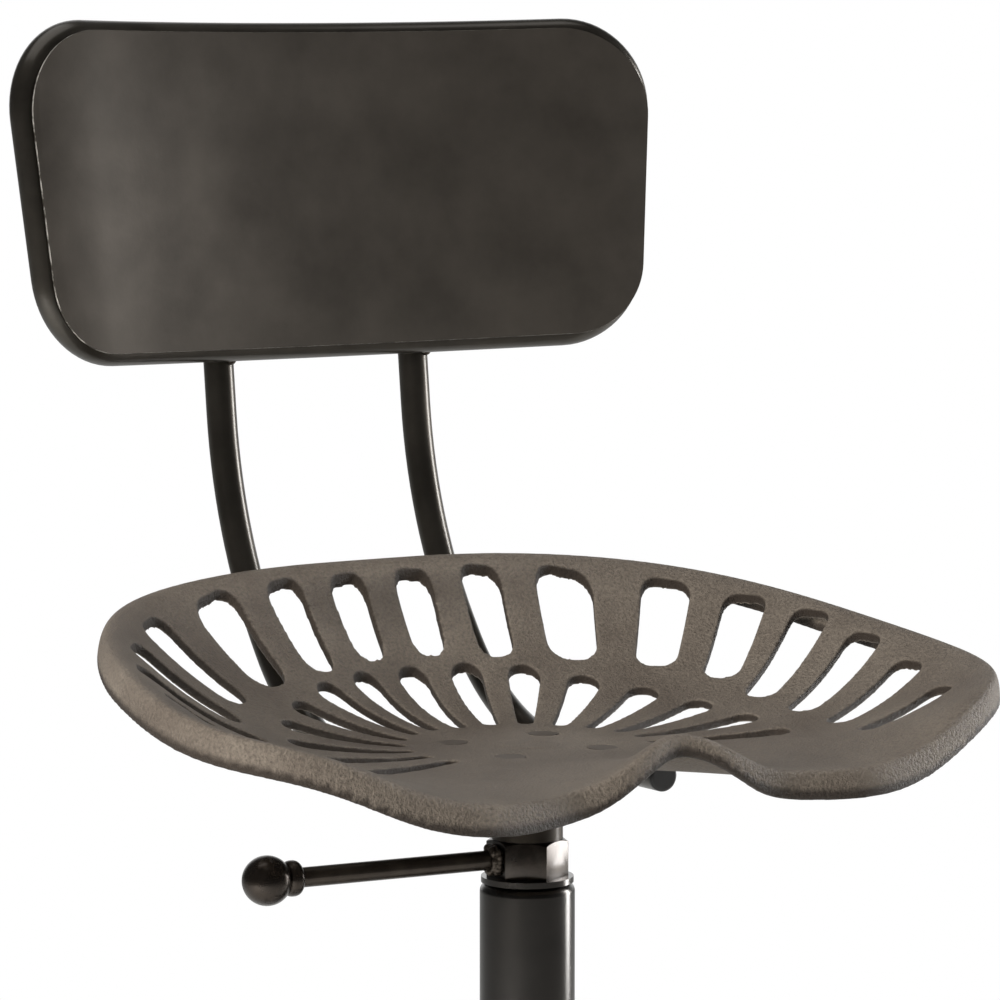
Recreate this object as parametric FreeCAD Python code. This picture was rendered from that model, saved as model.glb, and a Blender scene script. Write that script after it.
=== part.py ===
import FreeCAD, Part
import math
import os
from FreeCAD import Vector

# Swivel stool with a cast tractor seat and a back rest, on a screw column.
# Millimetres. The origin is on the floor at the column's axis, +Z is up, and
# the sitter faces -Y. The seat is modelled at its lowest position.

# Heights of the main levels
seat_height = 610.0          # floor to the top of the pan's middle, lowest position
seat_travel = 150.0          # how far the screw lifts the seat

# Cast seat pan: wall, flat middle and rolled rim
pan_wall = 5.0
disc_radius = 42.0
boss_radius = 15.5
boss_height = 0.6
rim_roll_rear = 15.0
rim_roll_front = 8.0
# Stations round the pan, in degrees from the rear, alike on the left and right:
# rim radius, rim height over the middle, and how full the dish is.
rim_bearings = [0, 30, 60, 85, 104, 113, 122, 136, 148, 159, 170, 180]
rim_radii = [164.5, 180.5, 214.5, 223.8, 240.0, 246.4, 236.0, 200.8, 174.6, 149.2, 146.2, 135.4]
rim_heights = [78.6, 77.4, 66.4, 51.2, 40.0, 35.0, 28.4, 3.6, -1.4, 1.8, 15.8, 23.6]
rim_lips = [4.5, 4.5, 6.5, 5.5, 6.5, 6.0, 6.0, 7.0, 6.5, 6.5, 4.5, 3.0]
dish_fullness = [0.2, 0.65, 0.7, 0.3, 0.15, 0.05, 0, 0, 0, 0.2, 0.35, 0.5]
ring_points = 60
dish_steps = [0.12, 0.3, 0.5, 0.68, 0.84, 1.0]   # share of the way from the disc to the rim's crest

# Openings cast through the pan. Each row runs outward from inner to outer end.
outer_bearings_in = [8.5, 26, 44, 61, 75, 87, 100, 112, 123]
outer_bearings_out = [8, 23, 39, 56, 69, 80.5, 91.5, 102.5, 114]
outer_radii_in = [121, 122, 131, 143, 150, 147, 151, 159, 169]
outer_radii_out = [149, 157, 173, 192, 200, 207, 210, 213, 216]
outer_widths = [22, 23, 32, 27, 24, 22, 21, 19, 16]
outer_taper = 0.78
outer_end_round = 0.6          # corner radius over half the width, at the outer row's outer ends
inner_end_round = 0.85         # at the inner row's outer ends
tip_round = 0.92               # at the inner ends of both rows
inner_pitch = 16.0
inner_pairs = 7
inner_radius_in = 62.0
inner_radius_out = 116.0
inner_reach_side = 20.0
inner_width_out = 18.0
inner_width_in = 7.0

# Mounting plate and its bolts
plate_thickness = 4.0
plate_half_width = 72.0
plate_front = -20.0
plate_rear = 45.0
plate_nose_half_width = 42.0
plate_nose_front = -42.0
bolt_spacing = 55.2
bolt_diameter = 8.0
bolt_head_diameter = 15.5
bolt_head_depth = 4.4
bolt_hole_clearance = 0.4
bolt_head_sink = 0.2
nut_flats = 13.0
nut_thickness = 6.5
washer_diameter = 16.0
washer_thickness = 1.6
bolt_tail = 2.5
hole_run_out = 1.0

# Screw column
column_diameter = 48.3
column_wall = 3.2
column_tail = 26.0             # of the column below the guide bush at its lowest
column_shoulder = 5.0
seat_clearance = 39.0          # lock nut to the plate at the lowest position
insert_flange_diameter = 47.0
insert_flange = 3.0
insert_diameter = 34.0
insert_length = 38.0
insert_bore_gap = 0.05
screw_diameter = 24.0
screw_chamfer = 1.5
journal_diameter = 16.0
journal_gap = 0.08
guide_length = 24.0
guide_gap = 0.08
stop_gap = 2.0
end_gap = 0.3
retainer_diameter = 26.0
retainer_thickness = 3.0
retainer_bolt_diameter = 8.0
retainer_bolt_depth = 20.0
column_plug_thickness = 4.0
column_plug_depth = 12.0
column_plug_gap = 0.1

# Lock nut with its lever, and the hub over it
lock_nut_flats = 36.0
lock_nut_height = 19.0
lock_nut_chamfer = 1.6
lock_nut_chamfer_run = 2.7
hub_diameter = 36.0
hub_gap = 0.3
hub_weld = 4.0
lever_bearing = 175.0        # degrees from +X towards +Y
lever_diameter = 10.0
lever_reach = 145.0          # column axis to the middle of the ball
lever_weld_radius = 8.8
lever_weld_length = 5.0
ball_diameter = 25.0
knob_neck_diameter = 11.0
knob_collar_diameter = 18.0
knob_collar_length = 9.0
knob_collar_flat = 1.2
knob_collar_offset = 13.5
knob_stud_diameter = 8.0
knob_stud_depth = 14.0

# Back rest: two bent tubes, a bent tube frame and a sheet panel
upright_diameter = 16.0
upright_wall = 1.5
upright_half_spacing = 60.4
upright_front = -32.0
upright_bend_y = 117.0
upright_bend_radius = 130.0
upright_knee_y = 199.0
upright_knee_rise = 92.2     # over the pan's middle
upright_knee_radius = 235.0
upright_end_drop = 6.0       # below the top of the frame
back_lean = 6.4              # degrees
back_curve_radius = 600.0
frame_diameter = 16.0
frame_wall = 1.5
frame_half_width_top = 190.8
frame_half_width_bottom = 175.8
frame_rail_spacing = 163.0
frame_middle_rise = 271.2    # over the pan's middle
frame_corner_top = 44.0
frame_corner_bottom = 38.0
frame_gap = 0.05
panel_thickness = 1.5
panel_overhang = 2.0         # of the panel past the frame tube's centre line
panel_gap = 0.05
tack_radius = 2.2
tack_length = 9.0
tack_spots = [-130.0, -45.0, 45.0, 130.0]
tack_inset = 5.0               # from the rails' centre lines towards the middle
tack_depth = 7.2
bead_radius = 3.6
bead_offset = 4.7              # from the touching line to the bead's centre line
bead_length = 12.0
plate_bead_radius = 2.6
plate_bead_offset = 5.8
plate_bead_sink = 1.0
plate_bead_start = 6.0
plate_bead_length = 26.0

# Tube plugs
plug_wall_gap = 0.05
plug_depth = 12.0
plug_cap = 2.5
plug_round = 1.5

# Base: four bent legs, struts, foot ring and rubber feet
leg_count = 4
leg_diameter = 22.0
leg_wall = 2.0
leg_bend_rise = 114.0          # from the column's lower end to the legs' bend
leg_contact = 50.0             # straight length against the column, over the bend
leg_bend_radius = 70.0
leg_floor_radius = 240.0
leg_column_gap = 0.05
leg_end_height = 5.0
leg_weld_length = 34.0
leg_weld_drop = 4.0
leg_weld_radius = 3.2
leg_weld_out = 0.6
leg_weld_side = 5.2
strut_rise = 30.0              # over the column's lower end
strut_diameter = 12.0
ring_height = 200.0
ring_diameter = 19.0
ring_wall = 1.5
ring_gap = 0.05
foot_diameter = 34.0
foot_height = 18.0
foot_round = 3.0

# Worked out from the sizes above
z_axis = Vector(0, 0, 1)
pan_bottom = seat_height - pan_wall
plate_bottom = pan_bottom - plate_thickness
upright_level = plate_bottom - upright_diameter / 2
column_inner_radius = column_diameter / 2 - column_wall
lock_nut_top = plate_bottom - seat_clearance
lock_nut_bottom = lock_nut_top - lock_nut_height
column_top = lock_nut_bottom - insert_flange
screw_radius = screw_diameter / 2
guide_top = column_top - insert_length - seat_travel - stop_gap
guide_bottom = guide_top - guide_length
column_bottom = guide_bottom - column_tail
leg_bend_height = column_bottom + leg_bend_rise
leg_top = leg_bend_height + leg_contact
strut_height = column_bottom + strut_rise


def direction(bearing):
    """A level unit vector, in degrees from +X towards +Y."""
    return Vector(math.cos(math.radians(bearing)), math.sin(math.radians(bearing)), 0)


def rod(diameter, start, end):
    """A round bar from one point to another."""
    run = end - start
    return Part.makeCylinder(diameter / 2, run.Length, start, run)


def ring(outer_diameter, inner_diameter, bottom, height):
    """A level washer or sleeve on the column's axis."""
    outer = Part.makeCylinder(outer_diameter / 2, height, Vector(0, 0, bottom))
    return outer.cut(Part.makeCylinder(inner_diameter / 2, height, Vector(0, 0, bottom)))


def turned(profile, base, axis):
    """A solid turned about an axis, from pairs of radius and distance along it."""
    points = [Vector(radius, 0, along) for radius, along in profile]
    face = Part.Face(Part.makePolygon(points + [points[0]]))
    solid = face.revolve(Vector(0, 0, 0), z_axis, 360)
    solid.Placement = FreeCAD.Placement(base, FreeCAD.Rotation(z_axis, axis))
    return solid


def hexagon(flats, bottom, height, centre=Vector(0, 0, 0), bearing=0.0):
    """A hexagonal prism with one flat square to the bearing."""
    corner = flats / math.sqrt(3)
    points = [centre + direction(bearing + 30 + 60 * k) * corner + z_axis * bottom for k in range(6)]
    return Part.Face(Part.makePolygon(points + [points[0]])).extrude(z_axis * height)


def bent_path(points, radii):
    """Straight runs joined by tangent arcs at the inner points."""
    edges = []
    start = points[0]
    for corner, after, radius in zip(points[1:-1], points[2:], radii):
        into = (corner - start).normalize()
        out = (after - corner).normalize()
        half_turn = into.getAngle(out) / 2
        reach = radius * math.tan(half_turn)
        first = corner - into * reach
        last = corner + out * reach
        inward = (out - into).normalize()
        middle = corner + inward * (radius / math.cos(half_turn) - radius)
        edges.append(Part.LineSegment(start, first).toShape())
        edges.append(Part.Arc(first, middle, last).toShape())
        start = last
    edges.append(Part.LineSegment(start, points[-1]).toShape())
    return Part.Wire(edges)


def swept(path, diameter, start, heading):
    """A round bar along a path."""
    circle = Part.Wire(Part.makeCircle(diameter / 2, start, heading))
    return path.makePipeShell([circle], True, False)


def bent_tube(points, radii, diameter, wall):
    """A hollow tube along straight runs and bends."""
    path = bent_path(points, radii)
    heading = points[1] - points[0]
    outer = swept(path, diameter, points[0], heading)
    return outer.cut(swept(path, diameter - 2 * wall, points[0], heading))


def largest(shape):
    """The biggest of a shape's solids."""
    return max(shape.Solids, key=lambda piece: piece.Volume)


def bead(start, end, radius, neighbours):
    """A weld bead laid in the groove between its neighbours."""
    solid = rod(2 * radius, start, end)
    for neighbour in neighbours:
        solid = largest(solid.cut(neighbour))
    return solid


def mirrored(shape):
    """The same shape on the other side of the stool."""
    return shape.mirror(Vector(0, 0, 0), Vector(1, 0, 0))


def group(shapes):
    """Several separate solids as one shape."""
    solids = []
    for shape in shapes:
        solids.extend(shape.Solids)
    return Part.makeCompound(solids)


def save(shape, name):
    """Write one piece, and print its count of solids and volume."""
    solids = shape.Solids
    result = solids[0] if len(solids) == 1 else Part.makeCompound(solids)
    print(name, len(solids), round(result.Volume), result.isValid())
    result.exportStep("parts/" + name + ".step")
    return result


# Seat pan
def station_curve(values):
    """A smooth closed curve through the stations, alike on both sides."""
    bearings = [-b for b in reversed(rim_bearings[1:])] + rim_bearings
    mirror_values = list(reversed(values[1:])) + list(values)
    points = [Vector(b, v, 0) for b, v in zip(bearings, mirror_values)]
    period = [Vector(p.x - 360, p.y, 0) for p in points[-5:-1]]
    following = [Vector(p.x + 360, p.y, 0) for p in points[1:5]]
    curve = Part.BSplineCurve()
    curve.interpolate(period + points + following)
    return curve


def value_at(curve, bearing):
    """The station curve's value at a bearing between -180 and 180 degrees."""
    vertical = Part.Line(Vector(bearing, 0, 0), Vector(bearing, 1, 0))
    return curve.intersectCC(vertical)[0].Y


radius_curve = station_curve(rim_radii)
height_curve = station_curve(rim_heights)
fullness_curve = station_curve(dish_fullness)
lip_curve = station_curve(rim_lips)


def pan_section(bearing):
    """Control points of half a cross-section, outward: the top side, then the underside."""
    rim_radius = value_at(radius_curve, bearing)
    rim_height = value_at(height_curve, bearing)
    fullness = value_at(fullness_curve, bearing)
    lip = value_at(lip_curve, bearing)
    share = (1 - math.cos(math.radians(bearing))) / 2
    roll = rim_roll_rear + (rim_roll_front - rim_roll_rear) * share
    dish_width = rim_radius - roll - disc_radius
    top = [(disc_radius, 0.0), (disc_radius + dish_width * dish_steps[0], 0.0)]
    for step in dish_steps[1:]:
        height = rim_height * (fullness * step ** 2 + (1 - fullness) * step ** 3.5)
        top.append((disc_radius + dish_width * step, height))
    top.append((rim_radius, rim_height))
    top.append((rim_radius, rim_height - roll - lip))
    under = [(radius, -pan_wall) for radius, height in top[:2]]
    for before, here, after in zip(top[1:], top[2:-2], top[3:]):
        across = after[0] - before[0]
        rise = after[1] - before[1]
        length = math.hypot(across, rise)
        under.append((here[0] + pan_wall * rise / length, here[1] - pan_wall * across / length))
    under.append((rim_radius - pan_wall, rim_height - pan_wall))
    under.append((rim_radius - pan_wall, rim_height - roll - lip))
    return top, under


def pan_surface(rings):
    """A smooth closed surface steered by rings of control points, from the disc to the rim's lip."""
    degree = 2
    around = len(rings)
    spans = len(rings[0]) - degree
    surface = Part.BSplineSurface()
    surface.buildFromPolesMultsKnots(rings, [1] * (around + 1), [degree + 1] + [1] * (spans - 1) + [degree + 1],
                                     list(range(around + 1)), list(range(spans + 1)), True, False, 3, degree)
    return surface, surface.vIso(0).toShape(), surface.vIso(spans).toShape()


def pan_body():
    """The whole casting before its openings are cut."""
    top_rings = []
    under_rings = []
    for k in range(ring_points):
        bearing = -180 + 360.0 * k / ring_points
        outward = direction(90 - bearing)
        top, under = pan_section(bearing)
        top_rings.append([outward * radius + z_axis * height for radius, height in top])
        under_rings.append([outward * radius + z_axis * height for radius, height in under])
    top_side, top_disc, top_lip = pan_surface(top_rings)
    under_side, under_disc, under_lip = pan_surface(under_rings)
    lip = Part.makeRuledSurface(top_lip, under_lip)
    discs = [Part.Face(Part.Wire(edge)) for edge in (top_disc, under_disc)]
    shell = Part.makeShell([top_side.toShape(), under_side.toShape()] + lip.Faces + discs)
    shell.sewShape()
    body = Part.Solid(shell)
    if body.Volume < 0:
        body.reverse()
    return body


def slot_cutter(bearing_in, radius_in, bearing_out, radius_out, width_in, width_out, end_round):
    """An upright prism, wider outward, with a round inner end and rounded corners at its outer end."""
    def spot(bearing, radius):
        angle = math.radians(bearing)
        return Vector(radius * math.sin(angle), radius * math.cos(angle), 0)

    tip_in = spot(bearing_in, radius_in)
    tip_out = spot(bearing_out, radius_out)
    along = (tip_out - tip_in).normalize()
    across = Vector(-along.y, along.x, 0)
    side_in = across * (width_in / 2)
    side_out = across * (width_out / 2)
    corners = [tip_out + side_out, tip_in + side_in, tip_in - side_in, tip_out - side_out]
    radius_at_tip = tip_round * width_in / 2
    radius_at_end = end_round * width_out / 2
    radii = [radius_at_end, radius_at_tip, radius_at_tip, radius_at_end]
    outline = bent_path([tip_out] + corners + [tip_out], radii)
    run_out = 4 * pan_wall
    outline.translate(Vector(0, 0, -run_out))
    return Part.Face(outline).extrude(Vector(0, 0, max(rim_heights) + 2 * run_out))


def seat_pan():
    cutters = []
    for row in zip(outer_bearings_in, outer_radii_in, outer_bearings_out, outer_radii_out, outer_widths):
        bearing_in, radius_in, bearing_out, radius_out, width = row
        for side in (-1, 1):
            cutters.append(slot_cutter(side * bearing_in, radius_in, side * bearing_out, radius_out,
                                       width * outer_taper, width, outer_end_round))
    last_bearing = math.radians(inner_pitch * inner_pairs)
    for k in range(-inner_pairs, inner_pairs + 1):
        bearing = inner_pitch * k
        share = (1 - math.cos(math.radians(bearing))) / (1 - math.cos(last_bearing))
        reach = inner_radius_out + inner_reach_side * share
        cutters.append(slot_cutter(bearing, inner_radius_in, bearing, reach, inner_width_in, inner_width_out,
                                   inner_end_round))
    pan = pan_body().fuse(Part.makeCylinder(boss_radius, boss_height)).cut(cutters)
    pan.translate(Vector(0, 0, seat_height))
    return pan.cut(group([countersunk_hole(spot) for spot in bolt_spots]))


# Bolts through the pan and the plate
bolt_spots = [Vector(x * bolt_spacing / 2, y * bolt_spacing / 2, 0) for x in (-1, 1) for y in (-1, 1)]


def countersunk(spot, clearance, length):
    """A flat-headed bolt's outline, or its hole when a clearance is given."""
    head = bolt_head_diameter / 2 + clearance
    shank = bolt_diameter / 2 + clearance / 2
    top = 0.0 if clearance else -bolt_head_sink
    profile = [(0, top), (head, top), (shank, top - bolt_head_depth), (shank, -length), (0, -length)]
    return turned(profile, spot + z_axis * seat_height, z_axis)


def countersunk_hole(spot):
    """The hole, with room for the head to sit a little below the surface."""
    return countersunk(spot, bolt_hole_clearance, pan_wall + plate_thickness + hole_run_out)


def plate_shape():
    outline = [(-plate_half_width, plate_front), (-plate_nose_half_width, plate_front),
               (-plate_nose_half_width, plate_nose_front), (plate_nose_half_width, plate_nose_front),
               (plate_nose_half_width, plate_front), (plate_half_width, plate_front),
               (plate_half_width, plate_rear), (-plate_half_width, plate_rear)]
    points = [Vector(x, y, plate_bottom) for x, y in outline]
    plate = Part.Face(Part.makePolygon(points + [points[0]])).extrude(z_axis * plate_thickness)
    return plate.cut(group([countersunk_hole(spot) for spot in bolt_spots]))


def seat_fasteners():
    bolt_length = pan_wall + plate_thickness + washer_thickness + nut_thickness + bolt_tail
    bolts = [countersunk(spot, 0, bolt_length) for spot in bolt_spots]
    hole = bolt_diameter + bolt_hole_clearance
    washers = []
    nuts = []
    for spot in bolt_spots:
        washer = ring(washer_diameter, hole, plate_bottom - washer_thickness, washer_thickness)
        washer.translate(spot)
        washers.append(washer)
        nut_bottom = plate_bottom - washer_thickness - nut_thickness
        nut = hexagon(nut_flats, nut_bottom, nut_thickness, spot)
        nuts.append(nut.cut(Part.makeCylinder(bolt_diameter / 2, nut_thickness, spot + z_axis * nut_bottom)))
    return group(bolts), group(washers), group(nuts)


# Screw column
def column_tube():
    outer = column_diameter / 2
    body = Part.makeCylinder(outer, column_top - column_bottom, Vector(0, 0, column_bottom))
    rim = [e for e in body.Edges if abs(e.BoundBox.ZMin - column_top) < 0.001 and e.BoundBox.ZLength < 0.001]
    body = body.makeFillet(column_shoulder, rim)
    hollow = column_top - column_bottom - column_shoulder - column_wall / 2
    body = body.cut(Part.makeCylinder(column_inner_radius, hollow, Vector(0, 0, column_bottom)))
    return body.cut(Part.makeCylinder(insert_diameter / 2, column_top, Vector(0, 0, column_bottom)))


def thread_insert():
    flange = Part.makeCylinder(insert_flange_diameter / 2, insert_flange, Vector(0, 0, column_top))
    barrel = Part.makeCylinder(insert_diameter / 2, insert_length, Vector(0, 0, column_top - insert_length))
    bore = Part.makeCylinder(screw_radius + insert_bore_gap, insert_length + insert_flange,
                             Vector(0, 0, column_top - insert_length))
    return flange.fuse(barrel).removeSplitter().cut(bore)


def screw_spindle():
    """Threaded bar, plain journal for the guide and a blind hole for the retaining bolt."""
    journal = journal_diameter / 2
    profile = [(0, plate_bottom), (screw_radius, plate_bottom),
               (screw_radius, guide_top + end_gap + screw_chamfer),
               (screw_radius - screw_chamfer, guide_top + end_gap),
               (journal, guide_top + end_gap), (journal, guide_bottom - end_gap), (0, guide_bottom - end_gap)]
    bar = turned(profile, Vector(0, 0, 0), z_axis)
    hole_start = Vector(0, 0, guide_bottom - end_gap)
    hole = Part.makeCylinder(retainer_bolt_diameter / 2, retainer_bolt_depth, hole_start)
    return bar.cut(hole)


def retainer_bolt():
    head_bottom = guide_bottom - end_gap - retainer_thickness - nut_thickness
    length = nut_thickness + retainer_thickness + retainer_bolt_depth
    shank = Part.makeCylinder(retainer_bolt_diameter / 2, length, Vector(0, 0, head_bottom))
    return hexagon(nut_flats, head_bottom, nut_thickness).fuse(shank).removeSplitter()


def column_plug():
    lid = Part.makeCylinder(column_diameter / 2, column_plug_thickness,
                            Vector(0, 0, column_bottom - column_plug_thickness))
    stem_radius = column_inner_radius - column_plug_gap
    stem = Part.makeCylinder(stem_radius, column_plug_depth, Vector(0, 0, column_bottom))
    return lid.fuse(stem)


# Lock nut and lever
def lock_nut():
    nut = hexagon(lock_nut_flats, lock_nut_bottom, lock_nut_height, bearing=lever_bearing)
    corner = lock_nut_flats / math.sqrt(3)
    edge = corner - lock_nut_chamfer_run
    profile = [(0, lock_nut_bottom), (corner, lock_nut_bottom), (corner, lock_nut_top - lock_nut_chamfer),
               (edge, lock_nut_top), (0, lock_nut_top)]
    nut = nut.common(turned(profile, Vector(0, 0, 0), z_axis))
    bore = Part.makeCylinder(screw_radius + insert_bore_gap, lock_nut_height, Vector(0, 0, lock_nut_bottom))
    return nut.cut(bore)


lever_level = (lock_nut_bottom + lock_nut_top) / 2
lever_root = direction(lever_bearing) * (lock_nut_flats / 2) + z_axis * lever_level
collar_start = lever_reach - knob_collar_offset - knob_collar_length / 2


def lever_rod():
    heading = direction(lever_bearing)
    collar_face = heading * collar_start + z_axis * lever_level
    bar = rod(lever_diameter, lever_root, collar_face)
    stud = rod(knob_stud_diameter, collar_face, collar_face + heading * knob_stud_depth)
    return bar.fuse(stud).removeSplitter()


def lever_weld():
    """A domed bead round the lever's root."""
    inner = lever_diameter / 2
    steps = 5
    profile = [(inner, 0)]
    for k in range(steps + 1):
        angle = math.radians(90.0 * k / steps)
        radius = inner + (lever_weld_radius - inner) * math.cos(angle)
        profile.append((radius, lever_weld_length * math.sin(angle)))
    return turned(profile, lever_root, direction(lever_bearing))


def ball_knob():
    """Ball, neck and rolled collar turned in one piece."""
    heading = direction(lever_bearing)
    centre = heading * lever_reach + z_axis * lever_level
    ball = Part.makeSphere(ball_diameter / 2, centre)
    start = heading * collar_start + z_axis * lever_level
    neck = rod(knob_neck_diameter, start, centre)
    round_over = (knob_collar_length - knob_collar_flat) / 2
    collar = Part.makeCylinder(knob_collar_diameter / 2, knob_collar_length, start, heading)
    collar = collar.makeFillet(round_over, [e for e in collar.Edges if len(e.Vertexes) == 1])
    knob = ball.fuse([neck, collar])
    return knob.cut(rod(knob_stud_diameter, start, start + heading * knob_stud_depth))


# Back rest. The frame is drawn upright about its own middle, then leaned back and lifted.
lean = math.radians(back_lean)
knee = Vector(upright_half_spacing, upright_knee_y, seat_height + upright_knee_rise)
upright_heading = Vector(0, math.sin(lean), math.cos(lean))
frame_middle_height = seat_height + frame_middle_rise
upright_run = (frame_middle_height - knee.z) / math.cos(lean)
sagitta = back_curve_radius - math.sqrt(back_curve_radius ** 2 - upright_half_spacing ** 2)
rail_to_upright = (frame_diameter + upright_diameter) / 2 + frame_gap
frame_middle = Vector(0, knee.y, knee.z) + upright_heading * upright_run
frame_middle = frame_middle - Vector(0, math.cos(lean), -math.sin(lean)) * (rail_to_upright - sagitta)
half_rail = frame_rail_spacing / 2
upright_top = knee + upright_heading * (upright_run + half_rail + frame_diameter / 2 - upright_end_drop)


def leaned(shape):
    """Lean a shape drawn upright back, and lift it to the frame's place."""
    shape = shape.copy()
    shape.rotate(Vector(0, 0, 0), Vector(1, 0, 0), -back_lean)
    shape.translate(frame_middle)
    return shape


def rail_corner(half_width, corner_radius):
    """The arc's half angle and the corner's point where the end tangents meet."""
    reach = corner_radius
    span = math.hypot(back_curve_radius, reach)
    angle = math.asin(half_width / span) - math.atan2(reach, back_curve_radius)
    tangent = Vector(math.cos(angle), -math.sin(angle), 0)
    end = Vector(back_curve_radius * math.sin(angle), back_curve_radius * (math.cos(angle) - 1), 0)
    return angle, end, tangent, end + tangent * reach


def frame_path():
    """The closed centre line: two bowed rails, two straight sides, four round corners."""
    edges = []
    joints = []
    for sign, half_width, radius in ((1, frame_half_width_top, frame_corner_top),
                                     (-1, frame_half_width_bottom, frame_corner_bottom)):
        angle, end, tangent, corner = rail_corner(half_width, radius)
        lift = z_axis * sign * half_rail
        left_end = Vector(-end.x, end.y, 0)
        edges.append(Part.Arc(left_end + lift, lift, end + lift).toShape())
        joints.append((end + lift, corner + lift, radius))
    (top_end, top_corner, top_reach), (low_end, low_corner, low_reach) = joints
    side = (low_corner - top_corner).normalize()
    top_side = top_corner + side * top_reach
    low_side = low_corner - side * low_reach
    for end, corner, start in ((top_end, top_corner, top_side), (low_end, low_corner, low_side)):
        into = (corner - end).normalize()
        out = (start - corner).normalize()
        half_turn = into.getAngle(out) / 2
        radius = (corner - end).Length / math.tan(half_turn)
        middle = corner + (out - into).normalize() * (radius / math.cos(half_turn) - radius)
        arc = Part.Arc(end, middle, start).toShape()
        edges.extend([arc, mirrored(arc)])
    straight = Part.LineSegment(top_side, low_side).toShape()
    edges.extend([straight, mirrored(straight)])
    return edges


def frame_bar(diameter):
    """A round bar along the frame's centre line, one length per edge, joined end to end."""
    pieces = []
    for edge in frame_path():
        start = edge.valueAt(edge.FirstParameter)
        heading = edge.tangentAt(edge.FirstParameter)
        pieces.append(swept(Part.Wire(edge), diameter, start, heading))
    return pieces[0].fuse(pieces[1:])


def panel_shape():
    """A bowed sheet with round corners against the front of the frame."""
    outer = back_curve_radius - frame_diameter / 2 - panel_gap
    axis_point = Vector(0, -back_curve_radius, -frame_rail_spacing)
    shell = Part.makeCylinder(outer, 2 * frame_rail_spacing, axis_point)
    shell = shell.cut(Part.makeCylinder(outer - panel_thickness, 2 * frame_rail_spacing, axis_point))
    half_height = half_rail + panel_overhang
    corners = [(frame_half_width_top, half_height, frame_corner_top),
               (frame_half_width_bottom, -half_height, frame_corner_bottom)]
    right = [(Vector(w + panel_overhang, 0, z), r + panel_overhang) for w, z, r in corners]
    left = [(Vector(-p.x, 0, p.z), r) for p, r in reversed(right)]
    points = [p for p, r in right + left]
    radii = [r for p, r in right + left]
    start = (points[-1] + points[0]) * 0.5
    edges = bent_path([start] + points + [start], radii).Edges
    outline = Part.Face(Part.Wire(edges))
    outline.translate(Vector(0, -back_curve_radius / 2, 0))
    return shell.common(outline.extrude(Vector(0, back_curve_radius, 0)))


def upright(side):
    x = side * upright_half_spacing
    points = [Vector(x, upright_front, upright_level), Vector(x, upright_bend_y, upright_level),
              Vector(x, knee.y, knee.z), Vector(x, upright_top.y, upright_top.z)]
    return bent_tube(points, [upright_bend_radius, upright_knee_radius], upright_diameter, upright_wall)


def tube_plug(end, outward, diameter, wall):
    """A push-in plug with a flat round cap outside the tube's end."""
    inner = diameter / 2 - wall - plug_wall_gap
    cap = Part.makeCylinder(diameter / 2, plug_cap, end, outward)
    rim = [e for e in cap.Edges if len(e.Vertexes) == 1 and (e.CenterOfMass - end).dot(outward) > plug_cap / 2]
    cap = cap.makeFillet(plug_round, rim)
    return cap.fuse(Part.makeCylinder(inner, plug_depth, end, outward * -1))


def back_welds(uprights, frame):
    """Beads above and below each place where an upright crosses a rail."""
    beads = []
    back = Vector(0, math.cos(lean), -math.sin(lean))
    for side, tube in zip((-1, 1), uprights):
        x = side * upright_half_spacing
        for rise in (-half_rail, half_rail):
            rail = frame_middle + upright_heading * rise - back * sagitta + Vector(x, 0, 0)
            touch = rail + back * (frame_diameter / 2)
            for step in (-1, 1):
                if rise > 0 and step > 0:
                    continue
                centre = touch + upright_heading * step * bead_offset
                half = Vector(bead_length / 2, 0, 0)
                beads.append(bead(centre - half, centre + half, bead_radius, [tube, frame]))
    return group(beads)


def panel_tacks(frame, panel):
    """Small welds behind the panel's edge, inside the frame."""
    tacks = []
    for x in tack_spots:
        drop = back_curve_radius - math.sqrt(back_curve_radius ** 2 - x ** 2)
        for sign in (-1, 1):
            centre = Vector(x, -tack_depth - drop, sign * (half_rail - tack_inset))
            half = Vector(tack_length / 2, 0, 0)
            tack = leaned(rod(2 * tack_radius, centre - half, centre + half))
            tacks.append(largest(largest(tack.cut(frame)).cut(panel)))
    return group(tacks)


def plate_welds(uprights, plate):
    """Beads along both sides of each upright under the plate."""
    beads = []
    level = plate_bottom - plate_bead_sink
    for side, tube in zip((-1, 1), uprights):
        for step in (-1, 1):
            x = side * upright_half_spacing + step * plate_bead_offset
            start = Vector(x, plate_front + plate_bead_start, level)
            end = Vector(x, plate_front + plate_bead_start + plate_bead_length, level)
            beads.append(bead(start, end, plate_bead_radius, [tube, plate]))
    return group(beads)


def hub_weld_ring():
    radius = hub_diameter / 2
    profile = [(radius, plate_bottom), (radius + hub_weld, plate_bottom), (radius, plate_bottom - hub_weld)]
    return turned(profile, Vector(0, 0, 0), z_axis)


# Base
leg_axis_radius = (column_diameter + leg_diameter) / 2 + leg_column_gap
leg_slope = (leg_floor_radius - leg_axis_radius) / leg_bend_height
leg_splay = math.atan(leg_slope)


def leg_radius_at(height):
    """Distance of a leg's centre line from the column's axis, below the bend."""
    return leg_axis_radius + (leg_bend_height - height) * leg_slope


leg_bearings = [360.0 / leg_count * k - 90 for k in range(leg_count)]
ring_radius = leg_radius_at(ring_height) + ((leg_diameter + ring_diameter) / 2 + ring_gap) / math.cos(leg_splay)


def leg_points(bearing):
    out = direction(bearing)
    return [out * leg_axis_radius + z_axis * leg_top,
            out * leg_axis_radius + z_axis * leg_bend_height,
            out * leg_radius_at(leg_end_height) + z_axis * leg_end_height]


def leg(bearing):
    return bent_tube(leg_points(bearing), [leg_bend_radius], leg_diameter, leg_wall)


def leg_solid(bearing):
    path = bent_path(leg_points(bearing), [leg_bend_radius])
    return swept(path, leg_diameter, leg_points(bearing)[0], z_axis * -1)


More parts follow.
